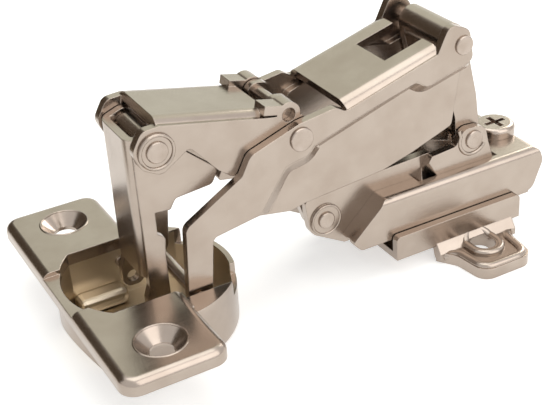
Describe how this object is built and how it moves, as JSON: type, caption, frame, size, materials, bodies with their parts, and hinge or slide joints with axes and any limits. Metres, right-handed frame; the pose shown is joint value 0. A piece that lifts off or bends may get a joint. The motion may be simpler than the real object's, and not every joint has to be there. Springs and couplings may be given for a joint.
{
  "type": "concealed hinge",
  "caption": "Wide-angle concealed furniture hinge: screw-on cup, crossing double-lever linkage, adjustable arm and winged mounting plate.",
  "frame": {"origin": "centre of the round cup in the plane of the door face that the cup flange lies on", "axes": "+X from the cup towards the arm and mounting plate, +Y across the hinge along its pivots, +Z out of the cup, away from the door"},
  "size_m": [0.1077, 0.0652, 0.0507],
  "materials": {
    "plated_steel": "satin nickel-plated pressed steel",
    "steel_pin": "satin nickel-plated turned steel"
  },
  "bodies": {
    "arm": {"mounting_plate": "plated_steel", "clamp_nut": "steel_pin", "clamp_screw": "steel_pin", "arm_channel": "plated_steel", "front_bracket": "plated_steel", "rear_bracket": "plated_steel", "front_rivet": "steel_pin", "rear_rivet": "steel_pin", "side_screw": "steel_pin"},
    "crossing": {"inner_lever": "plated_steel", "rocker_lever": "plated_steel", "link_rivet": "steel_pin", "cross_rivet": "steel_pin", "spring_pin": "steel_pin", "cross_barrel": "steel_pin", "link_barrel": "steel_pin"},
    "bridge": {"outer_lever": "plated_steel", "lever_rivet": "steel_pin"},
    "cup": {"hinge_cup": "plated_steel", "finger_pin": "steel_pin", "foot_pins": "steel_pin"},
    "link": {"cup_link": "plated_steel"},
    "tail": {"arm_link": "plated_steel"}
  },
  "joints": [
    {"name": "front_pivot", "type": "hinge", "parent": "arm", "child": "crossing", "pos_m": [0.0367, 0, 0.0041], "axis": [0, 1, 0], "range_deg": [-24.5, 22.5]},
    {"name": "crossing_pivot", "type": "hinge", "parent": "crossing", "child": "bridge", "pos_m": [0.0299, 0, 0.0258], "axis": [0, 1, 0], "range_deg": [-21.4, 23.29]},
    {"name": "finger_pivot", "type": "hinge", "parent": "bridge", "child": "cup", "pos_m": [0.0065, 0, -0.001], "axis": [0, 1, 0], "range_deg": [-67.8, 62.28]},
    {"name": "link_pivot", "type": "hinge", "parent": "crossing", "child": "link", "pos_m": [0.0017, 0, 0.031], "axis": [0, 1, 0], "range_deg": [-19.43, 21.15]},
    {"name": "rear_pivot", "type": "hinge", "parent": "arm", "child": "tail", "pos_m": [0.072, 0, 0.0122], "axis": [0, 1, 0], "range_deg": [-23.91, 21.97]}
  ],
  "couplings": [
    {"joint": "crossing_pivot", "follows": "front_pivot", "ratio": -0.9465},
    {"joint": "finger_pivot", "follows": "front_pivot", "ratio": 2.7634},
    {"joint": "link_pivot", "follows": "front_pivot", "ratio": -0.8592},
    {"joint": "rear_pivot", "follows": "front_pivot", "ratio": 0.9718}
  ]
}
